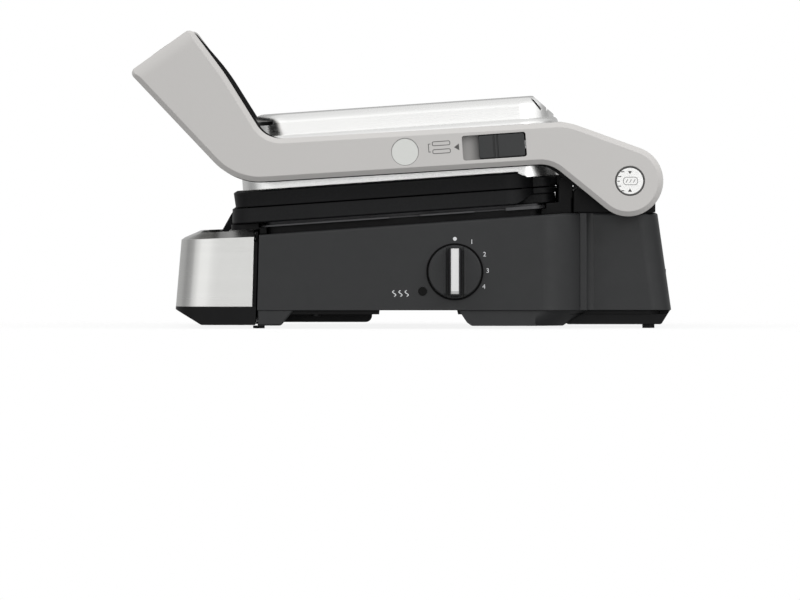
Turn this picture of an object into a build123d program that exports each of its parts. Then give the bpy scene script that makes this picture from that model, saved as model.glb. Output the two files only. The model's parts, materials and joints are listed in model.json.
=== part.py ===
from build123d import *
import math
import os

os.makedirs("parts", exist_ok=True)

# ---------------------------------------------------------------- dimensions
# millimetres; +Z up, -Y is the cook's side, +X the side with the rotary knob
TILT = 4.0                 # plates, arms and lid slope down to the front
HY, HZ = 161.8, 104.0      # main hinge axis (parallel to X), lies in the parting plane
KNOB_PROUD = 14.0          # knob stands out of the side wall
HALF_W = 174.0             # half width of the front housing
ARM_OUT = 176.0            # outer face of the arms
ARM_IN = 159.0             # inner face of the arm shells
COVER_IN = 155.0           # inner face of the arm liners
DISC_SUNK = 0.25           # badge, ring and pivot disc lie this deep in the arms
CORNER = 34.0              # rear corners of the front housing
COVE = 6.0                 # hollow between that corner and the rear housing
BACK = 134.6               # rear face of the front housing
REAR_HALF = 152.5          # half width of the rear housing
LID_HALF = 150.0           # half width of the lid
PLATE_HALF = 160.0         # half width of both grill plates
WALL = 3.0                 # moulded wall
STEEL = 2.0                # drawn steel cover
PIV_U, PIV_W = -156.8, 31.5  # floating lid pivot, in the tilted frame
PIN_R = 5.0                # main hinge pin
FPIN_R = 4.0               # lid pivot pin
RUN = 0.05                 # running clearance on radius
KY, KZ = 38.4, 40.0        # knob axis
LATCH_TRAVEL = 11.0
BUTTON_TRAVEL = 1.0
DX = -(HALF_W + KNOB_PROUD - ARM_OUT) / 2.0   # centres the whole box on X
DY = -0.974                # centres the whole box on Y

SHIFT = Pos(DX, DY, 0)
T = Pos(0, HY, HZ) * Rot(TILT, 0, 0)                       # tilted frame: x, u, w
PF = T * Pos(0, -324.3, 115.2) * Rot(31.5, 0, 0)           # control panel frame: x, v, n


# ---------------------------------------------------------------- helpers
def rpoly(*pts):
    """closed polygon with an optional radius on each corner, as a face in XY"""
    P = [Vector(p[0], p[1], 0) for p in pts]
    R = [p[2] if len(p) > 2 else 0 for p in pts]
    n = len(P)
    ends = []
    for i in range(n):
        p = P[i]
        a = (P[i - 1] - p).normalized()
        b = (P[(i + 1) % n] - p).normalized()
        if R[i] <= 0:
            ends.append((p, None, p))
            continue
        ang = math.radians(a.get_angle(b))
        t = R[i] / math.tan(ang / 2)
        bis = (a + b).normalized()
        c = p + bis * (R[i] / math.sin(ang / 2))
        ends.append((p + a * t, c - bis * R[i], p + b * t))
    edges = []
    for i in range(n):
        s, m, e = ends[i]
        if m is not None:
            edges.append(ThreePointArc(s, m, e))
        nx = ends[(i + 1) % n][0]
        if (nx - e).length > 1e-3:
            edges.append(Line(e, nx))
    return make_face(Wire(edges))


def sx(face, x0, x1):
    """prism of a side outline between two X planes"""
    return extrude(Plane.YZ.offset(x0) * face, amount=x1 - x0, dir=(1, 0, 0))


def sz(face, z0, z1):
    """prism of a plan outline between two heights"""
    return extrude(Pos(0, 0, z0) * face, amount=z1 - z0, dir=(0, 0, 1))


def bx(x0, x1, y0, y1, z0, z1):
    return Pos((x0 + x1) / 2, (y0 + y1) / 2, (z0 + z1) / 2) * Box(x1 - x0, y1 - y0, z1 - z0)


def cx(y, z, r, x0, x1):
    return Pos((x0 + x1) / 2, y, z) * Rot(0, 90, 0) * Cylinder(r, x1 - x0)


def cy(x, z, r, y0, y1):
    return Pos(x, (y0 + y1) / 2, z) * Rot(90, 0, 0) * Cylinder(r, y1 - y0)


def cz(x, y, r, z0, z1):
    return Pos(x, y, (z0 + z1) / 2) * Cylinder(r, z1 - z0)


def rrect(x0, x1, y0, y1, r):
    return rpoly((x0, y0, r), (x1, y0, r), (x1, y1, r), (x0, y1, r))


def both(s):
    return Compound(children=[c for c in list(s.solids()) + list(mirror(s, about=Plane.YZ).solids())])


def group(*shapes):
    out = []
    for s in shapes:
        out += list(s.solids())
    return Compound(children=out)


def at(loc, shape):
    """the shape moved solid by solid"""
    out = [loc * s for s in shape.solids()]
    return out[0] if len(out) == 1 else Compound(children=out)


NODES = {}


def put(name, shape):
    NODES[name] = at(SHIFT, shape)


# ---------------------------------------------------------------- base
TOPW = -19.75


def top_z(y, w=TOPW):
    return HZ + (y - HY) * math.tan(math.radians(TILT)) + w


# front housing: wide shell whose rear corners sweep inwards to the hinge section
def front_block(i, rad, zb):
    prof = rpoly((-101.0 + i, zb), (-99.6 + i, top_z(-99.6) - i), (116.0, 81.2 - i),
                 (BACK - i, 81.2 - i), (BACK - i, zb))
    b = sx(prof, -(HALF_W - i), HALF_W - i)
    es = [e for e in b.edges() if abs(abs(e.center().X) - (HALF_W - i)) < 0.5
          and e.center().Y > 118 and e.length > 30]
    return fillet(es, rad)


outer = front_block(0, CORNER, 12.8)
top_e = [e for e in outer.edges() if e.center().Z > 60 and abs(abs(e.center().X) - HALF_W) < 0.6]
outer = fillet(top_e, 1.6)
housing = outer - front_block(WALL, CORNER - WALL, 5.0)
housing -= T * sz(rrect(-152.3, 152.3, -258.3, -63.7, 8), -32, -8)          # plate opening
housing -= bx(-112.5, 112.5, -106, -92, 0, 57)                              # tray bay
housing -= bx(-118, 118, 112, 140, 22, 70)                                  # wiring way to the rear
housing -= cx(KY, KZ, 6.0, 165, 180)                                        # knob shaft
housing -= cx(15.65, 26.2, 3.05, 165, 180)                                  # lamp
housing -= bx(-180, -165, 26.7, 49.3, 52.7, 62.3)                           # plate release
put("base_housing", housing)

# rear housing under the hinge towers
rear = sx(rpoly((BACK + 0.3, 81.2), (181.5, 81.2), (191.3, 12.8), (BACK + 0.3, 12.8)), -REAR_HALF, REAR_HALF)
rc = [e for e in rear.edges() if abs(abs(e.center().X) - REAR_HALF) < 0.1 and e.center().Y > 183 and e.length > 30]
rear = fillet(rc, 14)
rt = [e for e in rear.edges() if e.center().Z > 81 and e.center().Y > 140]
rear = fillet(rt, 1.6)
rin = sx(rpoly((BACK - 4, 78.2), (178.2, 78.2), (188.6, 5.0), (BACK - 4, 5.0)), -(REAR_HALF - 3), REAR_HALF - 3)
rci = [e for e in rin.edges() if abs(abs(e.center().X) - REAR_HALF + 3) < 0.1 and e.center().Y > 178 and e.length > 30]
rin = fillet(rci, 11)
rear -= rin
rear -= cy(-95, 32, 8.05, 170, 200)                                         # cord inlet seat
for k in range(9):                                                          # rear vent slots
    rear -= Pos(-24 + k * 12, 182, 56) * Rot(-8.1, 0, 0) * Box(4.0, 30, 22)
# concave blend from the rounded corner of the front housing into the side wall
ccy = BACK - CORNER + math.sqrt((CORNER + COVE) ** 2 - (REAR_HALF + COVE - (HALF_W - CORNER)) ** 2)
cove_f = rpoly((REAR_HALF - 2.9, 124.0), (162.0, 124.0), (162.0, ccy), (REAR_HALF - 2.9, ccy))
cove_f -= Pos(REAR_HALF + COVE, ccy, 0) * Circle(COVE - 0.15)
cove = extrude(Pos(0, 0, 12.8) * cove_f, amount=68.4, dir=(0, 0, 1))
cove -= front_block(-0.06, CORNER + 0.06, 10.0)
cove = max(cove.solids(), key=lambda q: q.volume)
rear = rear + cove + mirror(cove, about=Plane.YZ)
put("rear_housing", rear)

# black floor pan with the tray well in its middle
pan = sz(rpoly((-170.2, -96.9, 2), (170.2, -96.9, 2), (170.2, 130.4, 31), (-170.2, 130.4, 31)), 9.9, 12.7)
pan += sz(rrect(-148.6, 148.6, 110.0, 183.5, 10), 9.9, 12.7)
pan -= bx(-180, 180, -15.0, 40.6, 5, 20)                                    # raised across the middle
pan += bx(-170.2, 170.2, -17.8, 43.4, 12.95, 15.6)
pan += bx(-170.2, 170.2, -17.8, -15.0, 12.0, 13.5) + bx(-170.2, 170.2, 40.6, 43.4, 12.0, 13.5)
well = sx(rpoly((-97.5, 9.9), (-97.5, 4.1), (-20.1, 4.1, 4.5), (-20.1, 9.9)), -128, 128)
pan += well
pan -= sx(rpoly((-110, 20), (-110, 6.6), (-22.6, 6.6, 2.5), (-22.6, 20)), -125.5, 125.5)
blk = sx(rpoly((117.0, 9.95), (117.0, 2.75, 1.5), (184.2, 2.75, 2), (188.7, 9.95)), -148, 148)
pan += blk - sx(rpoly((119.5, 20), (119.5, 5.2), (182.2, 5.2), (185.5, 9.95), (186, 20)), -145.5, 145.5)
pan += sx(rpoly((183.0, 9.9), (188.7, 9.9), (190.6, 12.7), (183.0, 12.7)), -140, 140)
for k in range(8):                                                          # floor vents
    pan -= bx(-63 + k * 18 - 3, -63 + k * 18 + 3, 46, 92, 5, 15)
put("base_pan", pan)


def skirt(pts, ins, x0, x1):
    s = sx(rpoly(*pts), x0, x1)
    e = [k for k in s.edges() if abs(k.center().X - x1) < 0.1 and k.center().Z < 11]
    return fillet(e, 1.2) - sx(rpoly(*ins), x0 + 2.5, x1 - 2.5)


fs = skirt([(-100.7, 12.65), (-100.7, 2.0), (-84.2, 2.0, 3), (-75.4, 12.65)],
           [(-98.2, 20), (-98.2, 4.6), (-86.0, 4.6), (-79.4, 12.65), (-75.0, 20)], 132.0, 173.4)
fs -= bx(120, 170.4, -97.1, 0, 9.8, 30)
put("front_skirts", both(fs))
rs = sx(rpoly((41.2, 12.65), (46.9, 4.2, 2), (50.3, 1.8, 3), (95.0, 1.8), (95.0, 12.65)), 138.0, 172.5)
sweep_f = rpoly((138.0, 60.0), (172.5, 60.0), (172.5, 116.0, 33), (138.0, 116.0))
rs += extrude(Pos(0, 0, 1.8) * sweep_f, amount=math.hypot(17.8, 10.85), dir=(0, 17.8, 10.85)) & bx(130, 180, 94.0, 140, 0, 20)
rs -= sz(rpoly((-170.4, -97.1, 2), (170.4, -97.1, 2), (170.4, 130.6, 31.2), (-170.4, 130.6, 31.2)), 9.8, 30)
rs &= bx(149.0, 180, 30, 140, 0, 12.65)
rs -= bx(152.0, 170.0, 52.0, 97.0, 4.3, 20)
put("rear_skirts", both(rs))

put("front_feet", both(cz(159, -99.9, 4.1, 0, 1.95)))
put("rear_feet", both(cz(133, 175.2, 4.3, 0, 2.75)))

# hinge towers, bushes
tower_f = rpoly((122.0, 81.9), (122.0, 97.0, 5), (150.0, 122.0, 12), (171.0, 122.0, 14),
                (180.0, 104.0, 14), (180.0, 81.9))
tw = sx(tower_f, 121.5, 151.5)
te = [e for e in tw.edges() if abs(e.center().X - 136.5) > 14 and e.center().Z > 83]
tw = fillet(te, 1.5)
tw -= cx(HY, HZ, 8.0, 110, 160)
tw += bx(123.5, 149.5, 124.5, 178.3, 81.25, 82.5)                        # foot, leaves a shadow gap
tw -= bx(125.5, 147.5, 126.5, 150.5, 80, 96)
put("hinge_tower_right", tw)
put("hinge_tower_left", mirror(tw, about=Plane.YZ))
bush = cx(HY, HZ, 7.95, 124, 153.2) - cx(HY, HZ, PIN_R + RUN, 120, 160)
put("hinge_bushes", both(bush))

# black wall behind the plates, between and in front of the towers
def par(y, w):
    return HZ + (y - HY) * math.tan(math.radians(TILT)) + w / math.cos(math.radians(TILT))


wall_f = rpoly((102.8, par(102.8, -15.4)), (99.5, par(99.5, -15.4)), (99.5, par(99.5, -19.4)), (116.0, 81.4), (121.6, 81.35), (121.6, par(121.6, -1.0), 2.5),
               (111.2, par(111.2, -1.0), 1), (111.2, par(111.2, -11.6)), (102.8, par(102.8, -11.6), 1))
wall = sx(wall_f, -146, 146)
we = [e for e in wall.edges() if abs(abs(e.center().X) - 146) < 0.1 and abs(e.center().Y - 111.2) < 0.1 and e.length > 5]
wall = fillet(we, 1.5)
post = sx(rpoly((112.0, 92.0), (121.6, 92.0), (121.6, 106.4, 2.5), (112.0, 105.7, 2.5)), 137.5, 146.0)
wall += post + mirror(post, about=Plane.YZ)
wall += bx(-119, 119, 121.0, 131.0, 81.35, 97.0)
wall -= bx(-116, 116, 114.5, 128.0, 80.0, 94.0)
put("rear_wall", wall)

# plate support collar, reflector, heater
collar = sz(rrect(-151.8, 151.8, -257.8, -64.2, 7.6), -27, -14.65) - sz(rrect(-147.2, 147.2, -253.2, -68.8, 4), -30, -8)
apron = sx(rpoly((-119.5, 69.1), (-99.3, 69.9), (-99.3, 66.4), (-94.6, 66.8), (-94.6, par(-94.6, -14.7)),
                 (-100.2, par(-100.2, -14.7)), (-100.2, par(-100.2, -11.6)), (-119.5, par(-119.5, -11.6))), -150, 150)
ape = [e for e in apron.edges() if abs(abs(e.center().X) - 150) < 0.1 and abs(e.center().Y + 119.5) < 0.1 and e.length > 2]
apron = fillet(ape, 12)
collar_t = T * collar
collar_t += apron
collar_t -= T * bx(-60, 60, -290, -250, -23, -8)
put("plate_support", collar_t)
refl = sz(rrect(-157, 157, -262, -61.0, 9), -14.6, -13.4) - sz(rrect(-142, 142, -248, -74, 6), -20, -5)
refl += sz(rrect(-143, 143, -249, -73, 7), -26, -12.0) - sz(rrect(-142, 142, -248, -74, 6), -25, -5)
refl += sz(rrect(-143, 143, -259.5, -62.5, 7), -14.0, -11.35) - sz(rrect(-142, 142, -248, -74, 6), -25, -5)
for u0 in (-171.0, -110.5):
    for sgn in (-1, 1):
        a, b = sorted((sgn * 149.0, sgn * 170.0))
        refl -= bx(a, b, u0, u0 + 21.7, -15, -10)
rim_r = sz(rrect(-157, 157, -262, -61.0, 9), -15.0, -12.8) - sz(rrect(-155.5, 155.5, -260.5, -62.5, 7.5), -20, -5)
refl += rim_r & bx(-170, 170, -88.8, -50, -16, -12)
put("lower_reflector", T * refl)


def heater(w, r):
    p = FilletPolyline((-16, -66, w), (-16, -96, w), (-112, -96, w), (-112, -222, w),
                       (112, -222, w), (112, -96, w), (16, -96, w), (16, -66, w), radius=14)
    return sweep(Plane(origin=p @ 0, z_dir=p % 0) * Circle(r), path=p)


low_el = heater(-12.75, 3.2)
put("lower_element", T * (low_el & bx(-150, 150, -240, -75.5, -20, 0)))


def plate(spout):
    """ribbed grill plate, cooking face at w<0 side up"""
    nose = -282.0 if spout else -279.6
    p = extrude(Pos(0, 0, -11.2) * rrect(-PLATE_HALF, PLATE_HALF, nose, -66.0, 22), amount=10.75, taper=4.5)
    be = [e for e in p.edges() if e.center().Z < -11.1]
    p = fillet(be, 1.0)
    p -= sz(rrect(-151.5, 151.5, -272.5, -74.5, 15), -6.6, 5)
    n = 22
    for k in range(n):
        x = -136.5 + k * 13.0
        rib = Pos(x, -173.5, 0) * extrude(Plane.XZ.offset(-95.0) * rpoly((-3.2, -6.8), (3.2, -6.8), (1.9, -3.6, 0.8), (-1.9, -3.6, 0.8)),
                                          amount=190.0, dir=(0, -1, 0))
        p += rib
    p -= sz(rrect(-141, 141, -247, -75, 8), -15, -9.5)
    # the underside sweeps up behind the cooking area to a thin rear rim
    if spout:
        p -= sx(rpoly((-120, -11.35), (-80.0, -11.0, 16), (-70.0, -4.4, 6), (-40, -4.3), (-40, -30), (-120, -30)), -200, 200)
        p += sz(rrect(-146, 146, -100, -51.5, 12), -4.3, -0.45) - sz(rrect(-151.5, 151.5, -272.5, -74.5, 15), -6.6, 5)
        p += sz(rrect(-143, 143, -84, -53.0, 10), -11.05, -4.9) + sz(rrect(-141, 141, -82, -55.0, 9), -5.0, -4.2)
        p -= sz(rrect(-141, 141, -247, -75, 8), -15, -9.5)
    else:
        p -= sx(rpoly((-120, -11.35), (-79.0, -11.1, 12), (-72.5, -7.5, 6), (-40, -7.3), (-40, -30), (-120, -30)), -200, 200)
        p += sz(rrect(-146, 146, -100, -51.5, 12), -7.2, -0.45) - sz(rrect(-151.5, 151.5, -272.5, -74.5, 15), -6.6, 5)
    return p


lp = plate(True)
# pouring lip in the middle of the front rim
lip = sx(rpoly((-275.0, -11.1), (-275.0, -0.5), (-277.0, -0.5, 3), (-281.8, -2.4, 8), (-290.4, -15.6), (-287.0, -17.3), (-279.0, -11.1)), -42, 42)
lip -= sx(rpoly((-274.0, -6.6), (-280.0, -7.2, 4), (-292.0, -20.5), (-300, -10), (-290, 5), (-270, 5)), -38.5, 38.5)
lip -= sz(rrect(-151.5, 151.5, -272.5, -74.5, 15), -6.6, 5)
lp += lip
lp -= sx(rpoly((-270.0, -6.6), (-283.5, -7.0), (-283.5, 3), (-270.0, 3)), -38.5, 38.5)
put("lower_plate", T * lp)
up = mirror(plate(False), about=Plane.XY)
put("upper_plate", T * up)

# controls in the base
put("knob_bezel", cx(KY, KZ, 20.1, HALF_W, HALF_W + 1.4) - cx(KY, KZ, 19.0, 170, 180))
sw = bx(150, 168.5, KY - 15, KY + 15, KZ - 14, KZ + 14) + cx(KY, KZ, 5.2, 168, 173.5)
sw -= cx(KY, KZ, 3.0 + RUN, 156, 180)
put("rotary_switch", sw)
put("indicator_lamp", cx(15.65, 26.2, 3.0, 166, 174.5) + cx(15.65, 26.2, 4.2, 165.5, 170.9))
board = bx(-70, 70, 137, 176, 26, 27.6)
for (a, b, c, d, h) in ((-60, -36, 142, 160, 18), (-30, -10, 144, 168, 14), (0, 12, 142, 152, 22), (20, 34, 150, 170, 12), (42, 60, 144, 158, 16)):
    board += bx(a, b, c, d, 27.5, 27.5 + h)
put("power_board", board)
tb = bx(-110, -82, 146, 162, 12.7, 30)
for k in range(3):
    tb -= cz(-104 + k * 8, 154, 2.2, 22, 40)
put("terminal_block", tb)
gl = cy(-95, 32, 8.0, 180.5, 190.1) + cy(-95, 32, 10.5, 177.5, 181.9) - cy(-95, 32, 4.2, 170, 200)
put("cord_inlet", gl)
scr = None
for (x, y) in ((-140, -60), (140, -60), (-140, 60), (140, 60), (-120, 100), (120, 100)):
    s = cz(x, y, 3.4, 8.3, 9.9) - Pos(x, y, 8.3) * Box(5, 1.0, 1.2)
    scr = s if scr is None else scr + s
put("base_screws", scr)

# rotary knob
disc = cx(KY, KZ, 18.7, HALF_W + 0.4, HALF_W + 4.2)
de = [e for e in disc.edges() if abs(e.center().X - HALF_W - 4.2) < 0.1]
disc = fillet(de, 0.8)
KX = HALF_W + KNOB_PROUD
pad = sx(rrect(-8.0, 8.0, -16.0, 16.0, 1.0), HALF_W + 4.0, HALF_W + 4.9)
pe = [e for e in pad.edges() if abs(e.center().X - HALF_W - 4.9) < 0.1]
pad = fillet(pe, 0.5)
grip = sx(rrect(-4.9, 4.9, -17.4, 17.4, 2.2), HALF_W + 1.8, KX)
grip &= sz(rpoly((HALF_W, -5.1), (KX - 1.0, -3.75), (KX, -3.3), (KX, 3.3), (KX - 1.0, 3.75), (HALF_W, 5.1)), -20, 20)
grip &= extrude(Plane.XZ.offset(-8) * rpoly((HALF_W, -17.6), (KX - 1.5, -16.9), (KX, -16.2), (KX, 17.0), (KX - 1.5, 17.2), (HALF_W, 17.6)),
                amount=16, dir=(0, -1, 0))
channel = bx(HALF_W + 2.0, KX, -6.3, 6.3, -20, 20)
kn = Pos(0, KY, KZ)
bar_cut = kn * bx(KX - 3.0, 200, -2.9, 2.9, -15.7, 16.7)
knob = ((disc + kn * pad) - kn * channel) + kn * grip - bar_cut - cx(KY, KZ, 3.0, 165, HALF_W + 8)
put("control_knob", knob)
put("knob_pointer", Pos(0, KY, KZ) * bx(HALF_W + KNOB_PROUD - 2.9, HALF_W + KNOB_PROUD - 0.3, -2.85, 2.85, -15.6, 16.6))
put("knob_shaft", cx(KY, KZ, 3.0, 157, HALF_W + 8))

# plate release in the base, left side
put("lower_release_button", bx(-175.2, -164.0, 27.0, 49.0, 53.0, 62.0))

# ---------------------------------------------------------------- drip tray
def tray_plan(i, yf, hw, r, yr):
    return rpoly((-hw + i, yr), (-hw + i, yf + i, r - i), (hw - i, yf + i, r - i), (hw - i, yr))


def tray_loft(i, z0, z1, yr):
    f0 = Pos(0, 0, z0) * tray_plan(i, -158.6 - (15.4 - z0) * 0.0, 173.8, 27, yr)
    f1 = Pos(0, 0, z1) * tray_plan(i, -158.6 + (z1 - z0) * 0.085, 173.3, 27, yr)
    return loft([f0, f1])


wrap = tray_loft(0, 15.3, 72.0, -101.5)
wrap &= sx(rpoly((-170, 10), (-170, 66.3), (-100, 69.2), (-100, 10)), -180, 180)
oe = [e for e in wrap.edges() if e.center().Z > 60 and not (e.center().Y > -101.6 and abs(e.center().X) < 10)]
wrap = chamfer(oe, 11.5, 4.5, reference=[f for f in wrap.faces() if f.center().Z > 64 and abs(f.normal_at().Z) > 0.9][0])
wrap -= tray_loft(1.6, 15.3, 72.0, -95.0) & sx(rpoly((-170, 0), (-170, 61.2), (-100, 63.9), (-100, 0)), -180, 180)
wrap -= sz(rrect(-160.3, 160.3, -141.3, -60, 14), 40, 90)
wrap &= sx(rpoly((-200, 0), (-105.0, 0), (-102.6, 90), (-200, 90)), -200, 200)
put("tray_front", wrap)

low = sx(rpoly((-158.7, 15.3), (-158.7, 13.4), (-140.5, 2.4, 4), (-102.3, 2.4, 0.8), (-101.9, 15.3)), -173.8, 173.8)
low &= sz(tray_plan(0, -158.7, 173.8, 27, -101.5), 0, 15.25)
tray = low + (sz(tray_plan(0, -152.4, 171.2, 26, -100.0), 14.0, 60.6) & sx(rpoly((-200, 0), (-102.3, 0), (-100.55, 62), (-200, 62)), -200, 200))
tray += bx(-150, 150, -102.2, -100.7, 57.0, 68.2)
tray += sx(rpoly((-103, 50), (-103, 6.9), (-30.0, 6.9, 6), (-24.0, 14.0, 6), (-24.0, 50)), -108.5, 108.5)
tray -= sx(rpoly((-149.9, 80), (-149.9, 15.0, 2), (-138.8, 5.2, 4), (-105.0, 5.2), (-105, 80)), -168.6, 168.6) & \
    sz(tray_plan(2.6, -152.4, 171.2, 26, -104.6), 0, 80)
tray -= sx(rpoly((-107, 80), (-107, 9.3), (-31.0, 9.3, 5), (-26.4, 15.0, 5), (-26.4, 80)), -106.1, 106.1)
put("drip_tray", tray)

# ---------------------------------------------------------------- arms and handle (tilted frame)
ARM = [(-54.8, 16.1, 22), (-278.5, 17.7, 45), (-347.1, 101.2, 4.2), (-301.5, 129.2, 4.6), (-280.0, 95.9, 150),
       (-254.1, 47.2, 20), (-41.2, 44.8, 40), (35.2, 11.0, 24.6), (3.3, -38.4, 24.6)]
arm_face = rpoly(*ARM)
arm = sx(arm_face, ARM_IN, ARM_OUT)
ae = [e for e in arm.edges() if abs(e.center().X - ARM_OUT) < 0.05]
arm = chamfer(ae, 3.5, 2.2, reference=max(arm.faces(), key=lambda f: f.center().X))
# the face rolls off softly to the end of the handle
roll = bx(ARM_OUT - 16, ARM_OUT + 6, -45, 45, -9.0, 4.0) - Pos(ARM_OUT - 19.5, 0, -9.0) * Rot(90, 0, 0) * Cylinder(19.5, 100)
arm -= T.inverse() * PF * roll
pocket_face = offset(arm_face, amount=-3.4)
arm -= sx(pocket_face, ARM_IN - 1, ARM_OUT - 3.2)
plain_arm = arm
# bosses for the hinge, the lid pivot and the handle bar
bosses = cx(0, 0, 13.0, ARM_IN, ARM_OUT - 3.0) + cx(PIV_U, PIV_W, 9.0, ARM_IN, ARM_OUT - 3.0)
arm = arm + bosses
arm -= cx(0, 0, 10.6, ARM_OUT - 1.3, 190)
arm -= cx(PIV_U, PIV_W, 9.65, ARM_OUT - 1.3, 190)
arm -= cx(0, 0, PIN_R, 150, ARM_OUT - 2.6)
arm -= cx(PIV_U, PIV_W, FPIN_R, 150, ARM_OUT - 2.6)
left_arm = mirror(arm, about=Plane.YZ)
# latch recess only in the right arm
arm += sx(rpoly((-120.0, 18.6), (-67.0, 18.6), (-67.0, 43.0), (-120.0, 43.0)), ARM_OUT - 6.6, ARM_OUT - 3.0)
arm -= sx(rpoly((-116.2, 22.4, 1.8), (-71.2, 22.4, 1.8), (-71.2, 39.8, 1.8), (-116.2, 39.8, 1.8)), ARM_OUT - 4.0, ARM_OUT + 2)
arm -= sx(rpoly((-104.2, 22.4), (-71.2, 22.4, 1.8), (-71.2, 39.8, 1.8), (-104.2, 39.8)), ARM_OUT - 8, ARM_OUT)
put("right_arm", T * arm)
put("left_arm", T * left_arm)

liner_f = rpoly((-58.6, 15.4, 20), (-278.0, 17.0, 44), (-345.2, 101.4, 4), (-302.0, 127.8, 4), (-279.0, 97.2, 150),
                (-252.4, 47.2, 20), (-41.6, 43.4, 40), (32.8, 10.6, 23.6), (3.0, -36.0, 23.6))
liner = sx(liner_f, COVER_IN, ARM_IN - 0.05)
le = [e for e in liner.edges() if abs(e.center().X - COVER_IN) < 0.05]
liner = fillet(le, 1.2)
liner -= cx(0, 0, PIN_R, 150, 160)
liner -= cx(PIV_U, PIV_W, FPIN_R, 150, 160)
put("right_arm_cover", T * liner)
put("left_arm_cover", T * mirror(liner, about=Plane.YZ))
asc = None
for (u, w) in ((-225, 31), (-100, 31), (-290, 55), (-20, 20)):
    s = cx(u, w, 2.9, COVER_IN - 1.0, COVER_IN + 0.0) - bx(COVER_IN - 1.4, COVER_IN - 0.4, u - 2, u + 2, w - 0.4, w + 0.4)
    asc = s if asc is None else asc + s
put("arm_screws", at(T, both(asc)))

put("hinge_pins", at(T, both(cx(0, 0, PIN_R, 126, ARM_OUT - 2.7))))
put("float_pins", at(T, both(cx(PIV_U, PIV_W, FPIN_R, 131, ARM_OUT - 2.7))))
put("hinge_badges", at(T, both(cx(0, 0, 9.3, ARM_OUT - 1.3, ARM_OUT - DISC_SUNK))))
put("badge_rings", at(T, both(cx(0, 0, 10.55, ARM_OUT - 1.3, ARM_OUT - DISC_SUNK) - cx(0, 0, 9.35, 170, 180))))
put("pivot_discs", at(T, both(cx(PIV_U, PIV_W, 9.4, ARM_OUT - 1.3, ARM_OUT - DISC_SUNK))))

# handle bar between the arms, in the panel frame
HB = COVER_IN - 0.1
sec_o = rpoly((-24.4, -0.6, 1.5), (-20.3, -33.5, 10), (24.8, -31.0, 10), (24.8, -0.6, 1.5))
sec_i = rpoly((-21.8, 5), (-17.9, -30.9, 7.5), (22.2, -28.5, 7.5), (22.2, 5))
tube = sx(sec_o, -HB, HB) - sx(sec_i, -HB + 3, HB - 3)
front_half = tube & sx(rpoly((-40, -50), (2.0, -50), (2.0, -20), (14.9, -20), (14.9, 10), (-40, 10)), -200, 200)
front_half -= bx(-300, 300, 2.0, 30, -60, 10)
rear_half = tube & bx(-300, 300, 2.1, 40, -60, 10)
put("handle_shell", PF * front_half)
put("handle_cover", PF * rear_half)
panel = sx(rpoly((-21.0, -0.4), (-20.6, -3.4), (22.1, -3.4), (22.1, -0.4)), -HB + 3.1, HB - 3.1)
BTN = {"power_button": (-112, 7.6), "programme_button_1": (-76, 7.6), "programme_button_2": (-44, 7.6),
       "ok_button": (0, 8.9), "programme_button_3": (44, 7.6), "programme_button_4": (76, 7.6),
       "programme_button_5": (112, 7.6)}
for n_, (x, r) in BTN.items():
    panel -= cz(x, 0, 13.7 if n_ == "ok_button" else r + 0.35, -10, 5)
put("control_panel", PF * panel)
put("status_ring", PF * (cz(0, 0, 13.6, -3.4, -0.3) - cz(0, 0, 9.3, -10, 5)))
pb = bx(-135, 135, -16, 17, -10.6, -9.0)
for x in (-112, -76, -44, 0, 44, 76, 112):
    pb += bx(x - 3, x + 3, -3, 3, -9.1, -8.2)
put("panel_board", PF * pb)
for n_, (x, r) in BTN.items():
    b = cz(x, 0, r, -6.9, 0.5)
    b = fillet([e for e in b.edges() if e.center().Z > 0.4], 0.6)
    put(n_, PF * b)

# latch slider, link and spring in the right arm
sl = sx(rpoly((-104.6, 23.0, 1.5), (-72.2, 23.0, 1.5), (-72.2, 39.2, 1.5), (-104.6, 39.2, 1.5)), ARM_OUT - 3.6, ARM_OUT - 0.3)
sl -= sx(rpoly((-94.6, 20), (-93.2, 20), (-93.2, 45), (-94.6, 45)), ARM_OUT - 1.3, ARM_OUT)
sl -= sx(rpoly((-92.0, 20), (-90.8, 20), (-90.8, 45), (-92.0, 45)), ARM_OUT - 1.3, ARM_OUT)
sle = [e for e in sl.edges() if abs(e.center().X - ARM_OUT + 0.3) < 0.05 and not -95.0 < e.center().Y < -90.5]
sl = fillet(sle, 0.5)
sl += bx(ARM_OUT - 9.4, ARM_OUT - 3.5, -92.0, -76.0, 28.0, 34.0)
put("latch_slider", T * sl)
put("latch_link", T * (bx(ARM_OUT - 12.4, ARM_OUT - 9.4, -98.0, -34.0, 28.0, 34.0) - cx(-42, 31, 1.6, 150, 180)))
coil = None
for k in range(9):
    c = Pos(ARM_OUT - 10.9, -131.0 + k * 2.6, 31.0) * Rot(90, 0, 0) * Torus(2.6, 0.5)
    coil = c if coil is None else group(coil, c)
put("latch_spring", at(T, coil))

# ---------------------------------------------------------------- lid (tilted frame)
def lid_solid(i):
    low_ = sz(rrect(-LID_HALF + i, LID_HALF - i, -273.0 + i, -47.5 - i, 27 - i), 11.9 - (1 if i else 0), 49.0 - i)
    if not i:
        low_ = fillet([e for e in low_.edges() if abs(e.center().Z - 49.0) < 0.01], 3.5)
    up_ = sz(rrect(-142.0 + i, 142.0 - i, -262.0 + i, -50.2 - i, 24 - i), 30.0, 64.6 - i)
    k = 0.707 * i * 2
    up_ -= sx(rpoly((-65.4 - k, 66.0), (-32.2 - k, 32.8), (-10, 32.8), (-10, 90), (-65.4 - k, 90)), -200, 200)
    te_ = [e for e in up_.edges() if abs(e.center().Z - (64.6 - i)) < 0.02 and e.center().Y < -68]
    return low_ + fillet(te_, 6.5 - i)


lid = lid_solid(0)
lid -= lid_solid(STEEL)
lid -= bx(-160, 160, -290, -248.4, 57.0, 59.5)                  # long front vent, round both corners
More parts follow.
